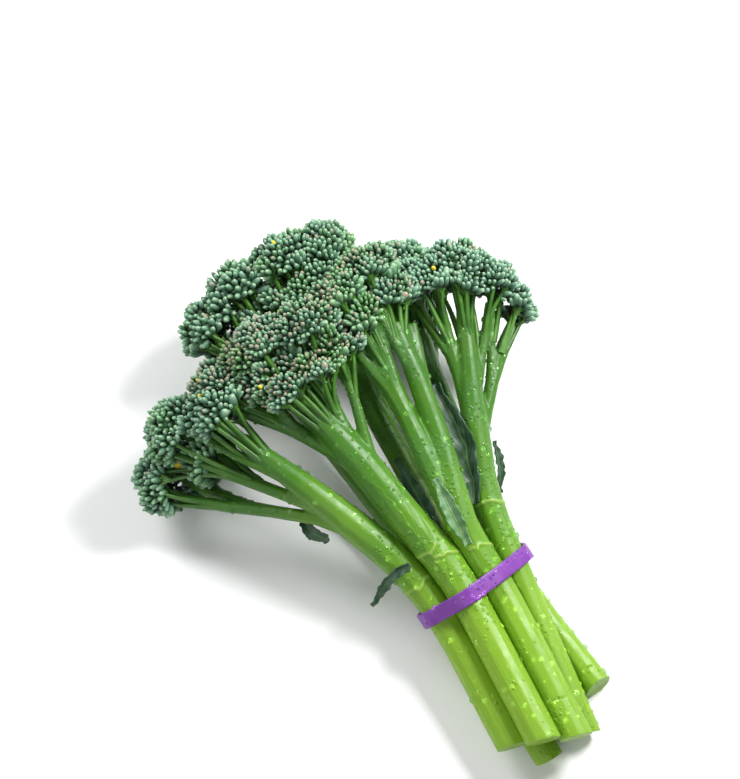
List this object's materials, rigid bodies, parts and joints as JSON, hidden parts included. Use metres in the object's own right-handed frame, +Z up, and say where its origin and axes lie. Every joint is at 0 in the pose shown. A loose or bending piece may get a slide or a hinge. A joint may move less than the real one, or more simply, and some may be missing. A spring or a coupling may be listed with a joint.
{
  "type": "bunch of broccolini",
  "caption": "Bunch of broccolini spears lying on its side: slim green stalks that fan into heads of tight flower buds, held by a purple rubber band.",
  "frame": {"origin": "on the ground, below the middle of the bunch's bounding box", "axes": "+Z up from the ground; +Y along the stems from the cut ends to the bud heads; +X across the bunch"},
  "size_m": [0.1684, 0.2252, 0.0732],
  "materials": {
    "stem": "waxy fresh green stalk, paler towards the cut end, wet with small drops",
    "cut_face": "moist pale green pith of the cut ends",
    "bud": "blue-green flower buds with a dull waxy bloom and purplish tips",
    "leaf": "dark green leaf with a waxy bloom",
    "band": "purple rubber, satin",
    "water": "clear water drops"
  },
  "bodies": {
    "root": {"stalk_left_low": "stem", "stalk_middle_top": "stem", "stalk_middle_right": "stem", "stalk_right_top": "stem", "stalk_right_low": "stem", "stalk_left_under": "stem", "stalk_centre_under": "stem", "rubber_band": "band", "leaf_tall": "leaf", "leaf_narrow": "leaf", "leaf_hanging": "leaf", "leaf_clasping": "leaf", "leaf_outer": "leaf", "leaf_right": "leaf", "head_left_low": "bud", "head_middle_top": "bud", "head_middle_right": "bud", "head_right_top": "bud", "head_right_low": "bud", "head_left_under": "bud", "head_centre_under": "bud"}
  },
  "joints": []
}
